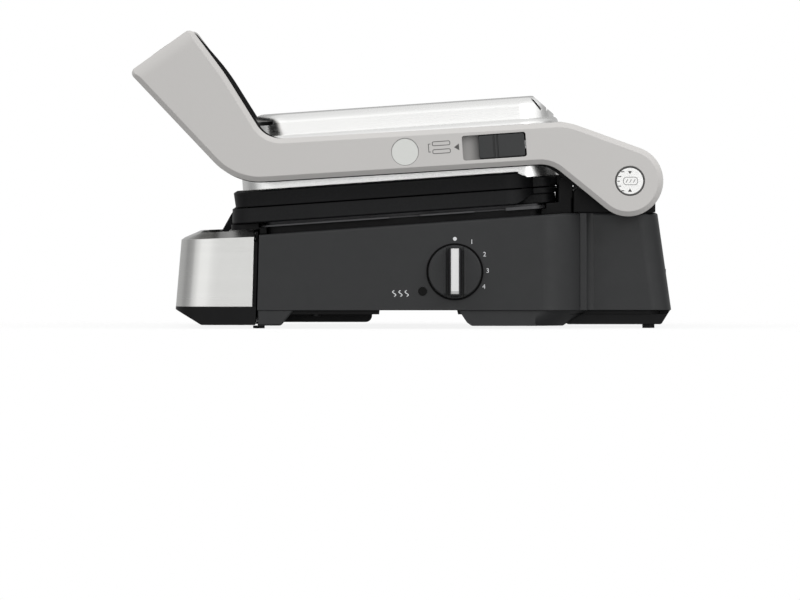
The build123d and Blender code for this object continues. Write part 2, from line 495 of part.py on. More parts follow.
# the rim drops behind the plate
rim = sz(rrect(-LID_HALF, LID_HALF, -140, -47.5, 27) - rrect(-LID_HALF + STEEL, LID_HALF - STEEL, -138, -49.5, 25), 7.7, 12.0)
rim &= sx(rpoly((-79.5, 12.4), (-72.0, 7.7), (-40, 7.7), (-40, 12.4)), -200, 200)
lid += rim
for x in (-132, -120, -108, 108, 120, 132):                      # slanted slots in the rear slope
    lid -= Pos(x, -61.0, 58.0) * Rot(-45, 0, 0) * Box(1.4, 15.0, 12.0)
slit = sx(rpoly((-65.6, 62.9), (-64.7, 63.5), (-58.3, 54.6), (-59.2, 54.0)), 134.2, 146.0)
lid -= slit
lid -= mirror(slit, about=Plane.YZ)
lid -= cx(PIV_U, PIV_W, 7.0, 140, 160) + cx(PIV_U, PIV_W, 7.0, -160, -140)
lid -= bx(-121.3, -98.7, -280, -265, 15.7, 24.3)                 # upper release
put("lid_cover", T * lid)

frame_ = sz(rrect(-147.9, 147.9, -270.9, -49.6, 24.9), 12.0, 22.0) - sz(rrect(-140, 140, -263, -57.5, 18), 5, 40)
fb = bx(128.0, 147.9, PIV_U - 11, PIV_U + 11, 15.0, PIV_W) + cx(PIV_U, PIV_W, 11.0, 128.0, 147.9)
fb -= cx(PIV_U, PIV_W, FPIN_R + RUN, 120, 150)
frame_ = frame_ + fb + mirror(fb, about=Plane.YZ)
frame_ -= bx(-121.6, -98.4, -280, -262, 15.4, 24.6)
hem = sx(rpoly((-51.3, 0.7), (-44.9, 0.7, 2), (-44.9, 7.1, 1), (-51.3, 7.1)), -136, 136)
hem += bx(-123.5, 123.5, -51.3, -49.8, 6.5, 12.4)
frame_ += hem                                                    # closes the gap over the rear wall
put("lid_frame", T * frame_)
ur = sz(rrect(-139.8, 139.8, -247, -75, 8), 12.1, 27.0) - sz(rrect(-138.8, 138.8, -246, -76, 7), 0, 26.0)
ur -= bx(120, 150, PIV_U - 12, PIV_U + 12, 11.0, 40) + bx(-150, -120, PIV_U - 12, PIV_U + 12, 11.0, 40)
put("upper_reflector", T * ur)
put("upper_element", T * (heater(12.75, 3.2) & bx(-150, 150, -240, -77.5, 5, 20)))
put("upper_release_button", T * bx(-121.0, -99.0, -274.2, -264.0, 16.0, 24.0))

# ---------------------------------------------------------------- export
lo = [1e9] * 3
hi = [-1e9] * 3
for name, shape in NODES.items():
    bb = shape.bounding_box()
    for k, (a, b) in enumerate(((bb.min.X, bb.max.X), (bb.min.Y, bb.max.Y), (bb.min.Z, bb.max.Z))):
        lo[k] = min(lo[k], a)
        hi[k] = max(hi[k], b)
    export_step(shape, "parts/%s.step" % name)
print("nodes", len(NODES))
print("box", [round(v, 2) for v in lo], [round(v, 2) for v in hi])
print("centre", [round((a + b) / 2, 3) for a, b in zip(lo, hi)])
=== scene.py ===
"""Contact grill: finishes, printed marks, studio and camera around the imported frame."""
import json
import math

import bpy
import bmesh
from mathutils import Matrix, Vector
from mathutils.geometry import tessellate_polygon


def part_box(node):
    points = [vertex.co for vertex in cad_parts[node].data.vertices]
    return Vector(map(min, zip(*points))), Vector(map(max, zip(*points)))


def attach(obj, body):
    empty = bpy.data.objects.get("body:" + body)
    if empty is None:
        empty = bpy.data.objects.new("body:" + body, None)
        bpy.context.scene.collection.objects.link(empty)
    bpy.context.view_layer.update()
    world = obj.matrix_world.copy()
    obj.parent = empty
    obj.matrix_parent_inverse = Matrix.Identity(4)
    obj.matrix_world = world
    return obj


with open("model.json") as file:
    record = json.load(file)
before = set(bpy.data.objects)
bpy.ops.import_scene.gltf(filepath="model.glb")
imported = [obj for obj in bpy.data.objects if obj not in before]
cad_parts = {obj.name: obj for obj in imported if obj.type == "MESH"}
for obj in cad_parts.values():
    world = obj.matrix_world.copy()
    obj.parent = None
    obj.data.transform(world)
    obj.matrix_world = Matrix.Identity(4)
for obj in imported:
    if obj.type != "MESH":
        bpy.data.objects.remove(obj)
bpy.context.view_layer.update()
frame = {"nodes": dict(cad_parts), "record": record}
NODES = frame["nodes"]

# ------------------------------------------------------------------ frames, millimetres to metres
DX, DY = -6.0, -0.974
HY, HZ = 161.8, 104.0
BASE = Matrix.Scale(0.001, 4) @ Matrix.Translation((DX, DY, 0))
TILT = BASE @ Matrix.Translation((0, HY, HZ)) @ Matrix.Rotation(math.radians(4.0), 4, "X")
PANEL = TILT @ Matrix.Translation((0, -324.3, 115.2)) @ Matrix.Rotation(math.radians(31.5), 4, "X")


def right_of(m, x):
    """plane of constant x seen from +X: a runs to the rear, b runs up"""
    return m @ Matrix(((0, 0, 1, x), (1, 0, 0, 0), (0, 1, 0, 0), (0, 0, 0, 1)))


def left_of(m, x):
    """plane of constant x seen from -X: a runs to the front, b runs up"""
    return m @ Matrix(((0, 0, -1, x), (-1, 0, 0, 0), (0, 1, 0, 0), (0, 0, 0, 1)))


# ------------------------------------------------------------------ node helpers
class G:
    """a Principled material under construction"""

    def __init__(self, name, tree=None):
        if tree is None:
            self.m = bpy.data.materials.new(name)
            self.m.use_nodes = True
            self.t = self.m.node_tree
            self.t.nodes.clear()
            self.out = self.n("OutputMaterial")
            self.b = self.n("BsdfPrincipled")
            self.l(self.b.outputs["BSDF"], self.out.inputs["Surface"])
            self.co = self.n("TexCoord").outputs["Object"]
            self.nrm = self.n("NewGeometry").outputs["Normal"]
        else:
            self.t = tree
            self.t.nodes.clear()

    def n(self, kind, **kw):
        x = self.t.nodes.new("ShaderNode" + kind)
        for k, v in kw.items():
            setattr(x, k, v)
        return x

    def l(self, a, b):
        self.t.links.new(a, b)

    def put(self, sock, v):
        if isinstance(v, bpy.types.NodeSocket):
            self.l(v, sock)
        else:
            sock.default_value = v

    def math(self, op, *args, clamp=False):
        x = self.n("Math", operation=op, use_clamp=clamp)
        for i, a in enumerate(args):
            self.put(x.inputs[i], a)
        return x.outputs[0]

    def vmath(self, op, a, b=None):
        x = self.n("VectorMath", operation=op)
        self.put(x.inputs[0], a)
        if b is not None:
            self.put(x.inputs[1], b)
        return x.outputs["Value"] if op in ("DOT_PRODUCT", "LENGTH") else x.outputs["Vector"]

    def noise(self, scale, detail=2.0, rough=0.5, vec=None):
        x = self.n("TexNoise")
        self.l(self.co if vec is None else vec, x.inputs["Vector"])
        x.inputs["Scale"].default_value = scale
        x.inputs["Detail"].default_value = detail
        x.inputs["Roughness"].default_value = rough
        return x.outputs["Fac"]

    def cells(self, scale, vec=None, out="Distance"):
        x = self.n("TexVoronoi")
        self.l(self.co if vec is None else vec, x.inputs["Vector"])
        x.inputs["Scale"].default_value = scale
        return x.outputs[out]

    def rng(self, v, a, b, c, d, kind="LINEAR"):
        x = self.n("MapRange", interpolation_type=kind)
        self.put(x.inputs["Value"], v)
        for k, q in (("From Min", a), ("From Max", b), ("To Min", c), ("To Max", d)):
            x.inputs[k].default_value = q
        return x.outputs["Result"]

    def mix(self, f, a, b):
        x = self.n("Mix", data_type="RGBA")
        self.put(x.inputs[0], f)
        for sock, v in ((x.inputs[6], a), (x.inputs[7], b)):
            self.put(sock, v if isinstance(v, bpy.types.NodeSocket) else (*v, 1.0))
        return x.outputs[2]

    def tone(self, col, f):
        """a colour times a grey factor"""
        x = self.n("Mix", data_type="RGBA", blend_type="MULTIPLY")
        x.inputs[0].default_value = 1.0
        self.put(x.inputs[6], col if isinstance(col, bpy.types.NodeSocket) else (*col, 1.0))
        self.l(f, x.inputs[7])
        return x.outputs[2]

    def bump(self, h, strength, distance, normal=None):
        x = self.n("Bump")
        x.inputs["Strength"].default_value = strength
        x.inputs["Distance"].default_value = distance
        self.l(h, x.inputs["Height"])
        if normal is not None:
            self.l(normal, x.inputs["Normal"])
        return x.outputs["Normal"]

    def soft_edge(self, radius, low=0.012, high=0.14):
        """rounded shading normal and a mask that is 1 on the sharp edges; the finishes use the mask to paint paler
        edges, part wear and part painted highlight
        """
        v = self.n("Bevel", samples=4)
        v.inputs["Radius"].default_value = radius
        d = self.vmath("DOT_PRODUCT", v.outputs["Normal"], self.nrm)
        return v.outputs["Normal"], self.rng(self.math("SUBTRACT", 1.0, d), low, high, 0.0, 1.0)

    def set(self, **kw):
        for k, v in kw.items():
            self.put(self.b.inputs[k.replace("_", " ")], v)
        return self


def plastic(name, col, rough, grain=0.35, depth=0.1, var=0.05, edge=1.3, radius=0.0005, spec=0.5, smudge=0.08):
    """moulded plastic: spark-eroded grain, slight mottling, handled patches, paler edges that are part wear and part
    painted highlight
    """
    g = G(name)
    fine = g.noise(1000.0 / grain, 2.0, 0.6)
    mid = g.noise(95.0, 3.0, 0.55)
    big = g.noise(13.0, 2.0, 0.5)
    nrm, mask = g.soft_edge(radius)
    f = g.math("MULTIPLY", g.rng(fine, 0.3, 0.7, 1 - var, 1 + var), g.rng(big, 0.3, 0.7, 1 - var * 0.8, 1 + var * 0.8))
    c = g.tone(col, f)
    # paler sharp edges: part edge wear, part painted highlight
    c = g.mix(mask, c, [min(1.0, v * edge) for v in col])
    r = g.math("ADD", g.rng(mid, 0.3, 0.7, rough - smudge / 2, rough + smudge / 2), g.rng(fine, 0.3, 0.7, -0.02, 0.02))
    g.set(Base_Color=c, Roughness=r, Normal=g.bump(fine, depth, 0.0001 * grain, nrm))
    g.set(**{"Specular_IOR_Level": spec})
    return g.m


def brushed(name, col, rough, line=0.42, depth=0.10, radius=0.0006, aniso=0.6, tilt=0.0, streak=0.045, edge=1.12):
    """drawn stainless sheet: long fine lines round the walls and across the top, faint wiping marks"""
    g = G(name)
    rot = g.n("VectorRotate", rotation_type="X_AXIS")
    g.l(g.co, rot.inputs["Vector"])
    rot.inputs["Angle"].default_value = -math.radians(tilt)
    v = rot.outputs["Vector"]
    sep = g.n("SeparateXYZ")
    g.l(g.nrm, sep.inputs[0])
    top = g.rng(g.math("ABSOLUTE", sep.outputs["Z"]), 0.52, 0.62, 0.0, 1.0)

    def lines(along, across, detail):
        a = g.noise(1.0, detail, 0.6, g.vmath("MULTIPLY", v, (along, along, across)))
        b = g.noise(1.0, detail, 0.6, g.vmath("MULTIPLY", v, (along, across, along)))
        return g.math("ADD", g.math("MULTIPLY", a, g.math("SUBTRACT", 1.0, top)), g.math("MULTIPLY", b, top))

    coarse = lines(9.0, 1000.0 / line, 3.0)
    fine = lines(30.0, 2600.0 / line, 2.0)
    band = lines(2.5, 240.0, 2.0)
    wipe = g.noise(16.0, 3.0, 0.55)
    nrm, mask = g.soft_edge(radius)
    f = g.math("MULTIPLY", g.rng(coarse, 0.3, 0.7, 1 - streak, 1 + streak), g.rng(band, 0.3, 0.7, 1 - streak * 0.6, 1 + streak * 0.6))
    c = g.tone(col, f)
    # paler sharp edges: part edge wear, part painted highlight
    c = g.mix(mask, c, [min(1.0, q * edge) for q in col])
    r = g.math("ADD", g.rng(coarse, 0.3, 0.7, rough - 0.03, rough + 0.03), g.rng(wipe, 0.35, 0.7, -0.015, 0.02))
    h = g.math("ADD", coarse, g.math("MULTIPLY", fine, 0.6))
    tang = g.n("Mix", data_type="VECTOR")
    g.l(top, tang.inputs[0])
    tang.inputs[4].default_value = (0.0, 0.0, 1.0)
    tang.inputs[5].default_value = (0.0, 1.0, 0.0)
    g.set(Base_Color=c, Metallic=1.0, Roughness=r, Anisotropic=aniso, Normal=g.bump(h, depth, 0.00003, nrm))
    g.l(tang.outputs[1], g.b.inputs["Tangent"])
    return g.m


def metal(name, col, rough, scale=900.0, depth=0.08, var=0.08, radius=0.0004, metallic=1.0, edge=1.15):
    g = G(name)
    fine = g.noise(scale, 3.0, 0.6)
    big = g.noise(45.0, 2.0, 0.5)
    nrm, mask = g.soft_edge(radius)
    f = g.math("MULTIPLY", g.rng(fine, 0.3, 0.7, 1 - var, 1 + var), g.rng(big, 0.3, 0.7, 1 - var, 1 + var))
    # paler sharp edges: part edge wear, part painted highlight
    c = g.mix(mask, g.tone(col, f), [min(1.0, q * edge) for q in col])
    g.set(Base_Color=c, Metallic=metallic, Roughness=g.rng(fine, 0.3, 0.7, rough - 0.06, rough + 0.06),
          Normal=g.bump(fine, depth, 0.00006, nrm))
    return g.m


def turned(name, col, rough, centre_y, centre_z, pitch=0.00035, scale_bump=0.1):
    """disc face with fine concentric lathe lines about an axis parallel to X"""
    g = G(name)
    d = g.vmath("SUBTRACT", g.co, (0.0, centre_y, centre_z))
    d = g.vmath("MULTIPLY", d, (0.0, 1.0, 1.0))
    r = g.vmath("LENGTH", d)
    wob = g.noise(700.0, 2.0, 0.5)
    ph = g.math("ADD", g.math("MULTIPLY", r, 2 * math.pi / pitch), g.math("MULTIPLY", wob, 5.0))
    ring = g.math("SINE", ph)
    fine = g.noise(2200.0, 2.0, 0.6)
    nrm, mask = g.soft_edge(0.0004)
    c = g.tone(col, g.math("MULTIPLY", g.rng(ring, -1.0, 1.0, 0.975, 1.02), g.rng(fine, 0.3, 0.7, 0.96, 1.04)))
    # paler sharp edges: part edge wear, part painted highlight
    c = g.mix(mask, c, [min(1.0, q * 1.2) for q in col])
    g.set(Base_Color=c, Metallic=1.0, Roughness=g.rng(fine, 0.3, 0.7, rough - 0.05, rough + 0.05),
          Normal=g.bump(ring, scale_bump, 0.00001, nrm))
    return g.m


def cast_coating(name):
    """die-cast aluminium with a speckled non-stick coat"""
    g = G(name)
    orange = g.noise(620.0, 3.0, 0.6)
    fine = g.noise(2300.0, 2.0, 0.6)
    big = g.noise(22.0, 2.0, 0.5)
    spk = g.cells(1500.0)
    keep = g.noise(1500.0, 0.0, 0.5)
    speck = g.math("MULTIPLY", g.rng(spk, 0.0, 0.26, 1.0, 0.0), g.rng(keep, 0.54, 0.60, 0.0, 1.0))
    nrm, mask = g.soft_edge(0.0009, 0.01, 0.16)
    c = g.tone((0.0062, 0.0064, 0.0069), g.math("MULTIPLY", g.rng(orange, 0.3, 0.7, 0.8, 1.25), g.rng(big, 0.3, 0.7, 0.9, 1.12)))
    c = g.mix(g.math("MULTIPLY", speck, 0.4), c, (0.07, 0.072, 0.078))
    # lighter sharp edges: part edge wear, part painted highlight
    c = g.mix(g.math("MULTIPLY", mask, 0.5), c, (0.02, 0.02, 0.021))
    h = g.math("ADD", orange, g.math("MULTIPLY", fine, 0.5))
    g.set(Base_Color=c, Roughness=g.math("ADD", g.rng(orange, 0.3, 0.7, 0.36, 0.5), g.math("MULTIPLY", speck, -0.12)),
          Normal=g.bump(h, 0.5, 0.00012, nrm))
    g.set(**{"Specular_IOR_Level": 0.16})
    return g.m


def gloss(name, col, rough=0.09, coat=0.5, dust=0.04, radius=0.0004, scale=1600.0):
    """polished plastic with a faint haze of handling"""
    g = G(name)
    haze = g.noise(60.0, 4.0, 0.6)
    fine = g.noise(scale, 2.0, 0.6)
    spk = g.rng(g.cells(900.0), 0.0, 0.09, 1.0, 0.0)
    nrm, mask = g.soft_edge(radius)
    c = g.tone(col, g.rng(fine, 0.3, 0.7, 0.9, 1.1))
    c = g.mix(g.math("MULTIPLY", spk, dust), c, (0.3, 0.3, 0.3))
    # paler sharp edges: part edge wear, part painted highlight
    c = g.mix(g.math("MULTIPLY", mask, 0.5), c, [min(1.0, q * 2.2 + 0.01) for q in col])
    g.set(Base_Color=c, Roughness=g.rng(haze, 0.3, 0.7, rough, rough + 0.09), Normal=g.bump(fine, 0.02, 0.00002, nrm))
    g.set(**{"Coat_Weight": coat, "Coat_Roughness": 0.06})
    return g.m


def rubber(name):
    g = G(name)
    fine = g.noise(1700.0, 3.0, 0.7)
    dust = g.noise(130.0, 4.0, 0.6)
    nrm, mask = g.soft_edge(0.0005)
    c = g.tone((0.017, 0.017, 0.0175), g.rng(fine, 0.3, 0.7, 0.8, 1.2))
    c = g.mix(g.rng(dust, 0.55, 0.8, 0.0, 0.18), c, (0.12, 0.115, 0.11))
    g.set(Base_Color=c, Roughness=g.rng(fine, 0.3, 0.7, 0.72, 0.88), Normal=g.bump(fine, 0.35, 0.00008, nrm))
    return g.m


def heater_tube(name):
    """sheathed element, heat-tinted in bands"""
    g = G(name)
    band = g.noise(26.0, 3.0, 0.6)
    fine = g.noise(1500.0, 3.0, 0.6)
    c = g.mix(g.rng(band, 0.35, 0.65, 0.0, 1.0), (0.16, 0.13, 0.10), (0.13, 0.135, 0.15))
    c = g.tone(c, g.rng(fine, 0.3, 0.7, 0.85, 1.15))
    g.set(Base_Color=c, Metallic=0.9, Roughness=g.rng(fine, 0.3, 0.7, 0.42, 0.6), Normal=g.bump(fine, 0.2, 0.00005))
    return g.m


def circuit_board(name):
    g = G(name)
    tr = g.n("TexBrick")
    g.l(g.vmath("MULTIPLY", g.co, (1.0, 1.0, 1.0)), tr.inputs["Vector"])
    tr.inputs["Scale"].default_value = 60.0
    tr.inputs["Mortar Size"].default_value = 0.012
    fine = g.noise(1200.0, 2.0, 0.5)
    c = g.mix(tr.outputs["Fac"], (0.012, 0.10, 0.035), (0.03, 0.2, 0.07))
    c = g.tone(c, g.rng(fine, 0.3, 0.7, 0.9, 1.1))
    g.set(Base_Color=c, Roughness=g.rng(fine, 0.3, 0.7, 0.3, 0.42), Normal=g.bump(tr.outputs["Fac"], 0.2, 0.00003))
    return g.m


def ink(name, col):
    """pad print: slightly uneven ink with a soft sheen"""
    g = G(name)
    fine = g.noise(3800.0, 2.0, 0.6)
    c = g.tone(col, g.rng(fine, 0.3, 0.7, 0.88, 1.08))
    g.set(Base_Color=c, Roughness=g.rng(fine, 0.3, 0.7, 0.42, 0.56), Normal=g.bump(fine, 0.1, 0.00001))
    return g.m


def frosted(name, col):
    g = G(name)
    fine = g.noise(2600.0, 2.0, 0.6)
    big = g.noise(80.0, 2.0, 0.5)
    nrm, mask = g.soft_edge(0.0005)
    # paler sharp edges: part edge wear, part painted highlight
    c = g.mix(mask, g.tone(col, g.rng(big, 0.3, 0.7, 0.94, 1.05)), [min(1.0, q * 1.2) for q in col])
    g.set(Base_Color=c, Roughness=g.rng(fine, 0.3, 0.7, 0.3, 0.4), Normal=g.bump(fine, 0.12, 0.00003, nrm))
    g.set(**{"Coat_Weight": 0.25, "Coat_Roughness": 0.2})
    return g.m


# ------------------------------------------------------------------ finishes
hinge = BASE @ Vector((0, HY, HZ))
pivot = TILT @ Vector((0, -156.8, 31.5))

M = {
    "charcoal_plastic": plastic("charcoal_plastic_look", (0.0180, 0.0186, 0.0194), 0.42, grain=0.34, depth=0.14, var=0.05, edge=1.9, radius=0.0006, spec=0.36),
    "black_plastic": plastic("black_plastic_look", (0.0046, 0.0046, 0.0049), 0.44, grain=0.4, depth=0.16, var=0.07, edge=2.2, radius=0.0006, spec=0.15),
    "warm_grey_plastic": plastic("warm_grey_plastic_look", (0.485, 0.474, 0.462), 0.40, grain=0.22, depth=0.05, var=0.012, edge=1.08, radius=0.0007, smudge=0.06),
    "gloss_black": gloss("gloss_black_look", (0.005, 0.005, 0.0055), coat=0.4),
    "pale_disc": plastic("pale_disc_look", (0.595, 0.604, 0.582), 0.34, grain=0.2, depth=0.04, var=0.012, edge=1.06, radius=0.0003, smudge=0.04),
    "brushed_steel": brushed("steel_look", (0.80, 0.80, 0.785), 0.27),
    "plate_coating": cast_coating("plate_coating_look"),
    "reflector_steel": metal("reflector_look", (0.085, 0.085, 0.088), 0.44, scale=500.0, metallic=0.8),
    "heater_tube": heater_tube("heater_tube_look"),
    "pin_steel": metal("pin_steel_look", (0.52, 0.52, 0.52), 0.26, scale=1800.0),
    "rubber": rubber("rubber_look"),
    "circuit_board": circuit_board("circuit_board_look"),
    "nylon": plastic("nylon_look", (0.60, 0.58, 0.50), 0.42, grain=0.5, depth=0.08, var=0.03, edge=1.1),
    "lens": plastic("lens_look", (0.0018, 0.0018, 0.0018), 0.3, grain=0.3, depth=0.03, var=0.05, edge=2.0, radius=0.0004, spec=0.12),
    "ring_lens": frosted("ring_lens_look", (0.46, 0.48, 0.49)),
    "spring_steel": metal("spring_steel_look", (0.6, 0.6, 0.6), 0.2, scale=2500.0),
}
SPECIAL = {
    "lid_cover": brushed("lid_steel_look", (0.94, 0.94, 0.93), 0.26, line=0.40, depth=0.016, tilt=4.0, streak=0.008, aniso=0.45),
    "tray_front": brushed("tray_steel_look", (0.70, 0.70, 0.685), 0.24, line=0.42, depth=0.045, tilt=0.0, streak=0.022, aniso=0.55),
    "hinge_badges": turned("badge_look", (0.82, 0.82, 0.81), 0.24, hinge.y, hinge.z),
    "knob_pointer": plastic("pointer_look", (0.66, 0.66, 0.655), 0.30, grain=0.5, depth=0.05, var=0.02, edge=1.1, radius=0.0004),
    "latch_slider": plastic("slider_look", (0.018, 0.019, 0.0195), 0.36, grain=0.3, depth=0.08, var=0.05, edge=1.8, radius=0.0005),
    "badge_rings": gloss("badge_ring_look", (0.035, 0.034, 0.033), rough=0.2, coat=0.2, dust=0.0, radius=0.0003),
    "knob_bezel": plastic("bezel_look", (0.003, 0.003, 0.003), 0.42, grain=0.3, depth=0.08, edge=1.6, spec=0.05),
    "base_screws": metal("black_screw_look", (0.02, 0.02, 0.021), 0.4, scale=1500.0, metallic=0.6),
}
def paint_pocket_shade(mat, origin, box, axis_x, amount, soft):
    """painted shade: multiply the colour inside a box of the tilted frame, stronger towards the rear"""
    g = G.__new__(G)
    g.m, g.t = mat, mat.node_tree
    g.b = next(n for n in g.t.nodes if n.type == "BSDF_PRINCIPLED")
    co = g.n("TexCoord").outputs["Object"]
    inv = (origin.inverted())
    ax = [g.vmath("DOT_PRODUCT", co, tuple(inv[i][k] for k in range(3))) for i in range(3)]
    ax = [g.math("ADD", a, inv[i][3]) for i, a in enumerate(ax)]
    m = None
    for a, (lo_, hi_) in zip(ax, box):
        q = g.math("MULTIPLY", g.math("GREATER_THAN", a, lo_), g.math("LESS_THAN", a, hi_))
        m = q if m is None else g.math("MULTIPLY", m, q)
    k = g.rng(ax[1], soft[0], soft[1], amount[0], amount[1], "SMOOTHSTEP")
    # f darkens the colour inside the box: painted shade
    f = g.math("SUBTRACT", 1.0, g.math("MULTIPLY", m, k))
    old = g.b.inputs["Base Color"].links[0].from_socket
    g.l(g.tone(old, f), g.b.inputs["Base Color"])
    return mat


# painted shade in the slider recess of the right arm, deepest next to the slider
SPECIAL["right_arm"] = paint_pocket_shade(
    plastic("right_arm_look", (0.485, 0.474, 0.462), 0.40, grain=0.22, depth=0.05, var=0.012, edge=1.08, radius=0.0007, smudge=0.06),
    TILT, ((171.0, 175.5), (-117.2, -70.2), (21.4, 40.8)), 0, (0.40, 0.72), (-113.0, -103.0))
# painted shade: one end of the knob pointer darkened, as its bevelled end would be in shade
SPECIAL["knob_pointer"] = paint_pocket_shade(SPECIAL["knob_pointer"], BASE @ Matrix.Translation((0, 38.4, 40.0)) @ Matrix.Rotation(math.radians(90), 4, "X"),
                                       ((150.0, 200.0), (-30.0, -13.6), (-10.0, 10.0)), 0, (0.38, 0.38), (-40.0, -30.0))
SLOT = {s["node"]: s.get("material_slot") for s in frame["record"].get("subparts", [])}
for name, obj in NODES.items():
    look = SPECIAL.get(name) or M[SLOT.get(name) or obj.data.materials[0].name]
    obj.data.materials.clear()
    obj.data.materials.append(look)

WHITE_INK = ink("white_ink", (0.62, 0.63, 0.64))
DARK_INK = ink("dark_ink", (0.075, 0.073, 0.072))
PANEL_INK = ink("panel_ink", (0.55, 0.56, 0.57))


# ------------------------------------------------------------------ flat printed shapes
def circle(cx, cy, r, n=40):
    return [(cx + r * math.cos(2 * math.pi * k / n), cy + r * math.sin(2 * math.pi * k / n)) for k in range(n)]


def arc(cx, cy, r, a0, a1, n=28):
    return [(cx + r * math.cos(math.radians(a0 + (a1 - a0) * k / n)), cy + r * math.sin(math.radians(a0 + (a1 - a0) * k / n))) for k in range(n + 1)]


def rounded(x0, y0, x1, y1, r, n=6):
    pts = []
    for cx, cy, a in ((x1 - r, y1 - r, 0), (x0 + r, y1 - r, 90), (x0 + r, y0 + r, 180), (x1 - r, y0 + r, 270)):
        pts += arc(cx, cy, r, a, a + 90, n)
    return pts


def stroke(pts, w, closed=False):
    """outline of a line of width w along points: loops for a filled shape"""
    n = len(pts)
    left, right = [], []
    for i in range(n):
        p = Vector(pts[i])
        a = Vector(pts[i - 1]) if (i > 0 or closed) else None
        b = Vector(pts[(i + 1) % n]) if (i < n - 1 or closed) else None
        d1 = (p - a).normalized() if a is not None else None
        d2 = (b - p).normalized() if b is not None else None
        d1 = d2 if d1 is None else d1
        d2 = d1 if d2 is None else d2
        n1 = Vector((-d1.y, d1.x))
        n2 = Vector((-d2.y, d2.x))
        m = (n1 + n2).normalized()
        k = w / 2 / max(0.5, m.dot(n1))
        left.append(tuple(p + m * k))
        right.append(tuple(p - m * k))
    if closed:
        return [left, right]
    return [left + right[::-1]]


def flat_mesh(shapes, t0, t1):
    """prisms over filled 2-D shapes; each shape is a list of loops, holes included"""
    me = bpy.data.meshes.new("flat")
    bm = bmesh.new()
    for loops in shapes:
        pts = [q for lp in loops for q in lp]
        tris = tessellate_polygon([[Vector((a, b, 0)) for a, b in lp] for lp in loops])
        top = [bm.verts.new((a, b, t1)) for a, b in pts]
        bot = [bm.verts.new((a, b, t0)) for a, b in pts]
        for t in tris:
            if len(set(t)) == 3:
                bm.faces.new([top[k] for k in t])
                bm.faces.new([bot[k] for k in reversed(t)])
        i = 0
        for lp in loops:
            k = len(lp)
            for j in range(k):
                a, b = i + j, i + (j + 1) % k
                bm.faces.new([top[a], top[b], bot[b], bot[a]])
            i += k
    bmesh.ops.recalc_face_normals(bm, faces=bm.faces)
    bm.to_mesh(me)
    bm.free()
    return me


def glyphs(text, size, at, t0, t1):
    """numbers or letters as a solid mesh, centred on a point of the plane"""
    cu = bpy.data.curves.new("glyph", "FONT")
    cu.body = text
    cu.size = size
    cu.align_x = "CENTER"
    cu.align_y = "CENTER"
    cu.extrude = (t1 - t0) / 2
    cu.resolution_u = 5
    ob = bpy.data.objects.new("glyph", cu)
    bpy.context.scene.collection.objects.link(ob)
    bpy.context.view_layer.update()
    me = bpy.data.meshes.new_from_object(ob.evaluated_get(bpy.context.evaluated_depsgraph_get()))
    bpy.data.objects.remove(ob)
    bpy.data.curves.remove(cu)
    xs = [v.co.x for v in me.vertices]
    ys = [v.co.y for v in me.vertices]
    me.transform(Matrix.Translation((at[0] - (min(xs) + max(xs)) / 2, at[1] - (min(ys) + max(ys)) / 2, (t0 + t1) / 2)))
    return me


def place(name, meshes, matrix, look, body):
    bm = bmesh.new()
    for me in meshes:
        bm.from_mesh(me)
        bpy.data.meshes.remove(me)
    out = bpy.data.meshes.new(name)
    bm.to_mesh(out)
    bm.free()
    out.transform(matrix)
    if matrix.determinant() < 0:
        out.flip_normals()
    out.materials.append(look)
    ob = bpy.data.objects.new(name, out)
    bpy.context.scene.collection.objects.link(ob)
    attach(ob, body)
    return ob


# dial: off dot and positions 1 to 4 round the knob
dial = [glyphs(t, 4.6, p, -0.02, 0.05) for t, p in (("1", (50.3, 61.2)), ("2", (59.3, 52.4)), ("3", (61.5, 40.8)), ("4", (58.8, 29.6)))]
dial.append(flat_mesh([[circle(38.4, 63.2, 1.35)]], -0.02, 0.05))
place("dial_marks", dial, right_of(BASE, 174.0), WHITE_INK, "base")

# rising heat, in front of the lamp
heat = []
for k in range(3):
    a0 = -4.4 + k * 4.4
    heat.append(stroke([(a0 + 1.15 * math.sin(t / 14 * 2 * math.pi), 22.6 + 4.2 * t / 14) for t in range(15)], 0.62))
place("lamp_mark", [flat_mesh(heat, -0.02, 0.05)], right_of(BASE, 174.0), WHITE_INK, "base")

# arm: arrow and flat-open symbol in front of the slider
sym = [
    [[(-122.1, 32.4), (-118.5, 30.0), (-118.5, 34.8)]],
    stroke(rounded(-137.2, 34.4, -124.8, 37.2, 1.0), 0.5, True),
    stroke(rounded(-137.2, 28.8, -124.8, 31.6, 1.0), 0.5, True),
    stroke([(-138.6, 35.8), (-140.0, 35.8), (-140.0, 30.2), (-138.6, 30.2)], 0.5),
]
place("slider_marks", [flat_mesh(sym, -0.02, 0.05)], right_of(TILT, 176.0), DARK_INK, "arm")


# badges over the hinge: five ticks, two pointers and a plain slice symbol
def badge_marks(side):
    s = []
    for b, a0, a1 in ((6.5, -6.3, -3.9), (3.15, -8.4, -6.1), (-0.2, -8.9, -7.1), (-3.6, -8.2, -6.1), (-6.9, -6.0, -3.9)):
        s.append([[(a0, b - 0.34), (a1, b - 0.34), (a1, b + 0.34), (a0, b + 0.34)]])
    s.append([[(-1.5, 7.0), (0.0, 4.9), (1.5, 7.0)]])
    s.append([[(-1.5, -7.6), (1.5, -7.6), (0.0, -5.3)]])
    s.append(stroke(rounded(-4.6, -2.7, 5.4, 2.7, 2.2), 0.42, True))
    for k in range(3):
        a = -2.2 + k * 2.6
        s.append(stroke([(a - 0.7, -1.2), (a + 0.7, 1.2)], 0.42))
    return s


lo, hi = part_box("hinge_badges")
place("badge_marks_right", [flat_mesh(badge_marks(1), -0.02, 0.05)],
      right_of(BASE @ Matrix.Translation((0, HY, HZ)), hi.x * 1000 - DX), DARK_INK, "arm")
place("badge_marks_left", [flat_mesh(badge_marks(-1), -0.02, 0.05)],
      left_of(BASE @ Matrix.Translation((0, HY, HZ)), lo.x * 1000 - DX), DARK_INK, "arm")

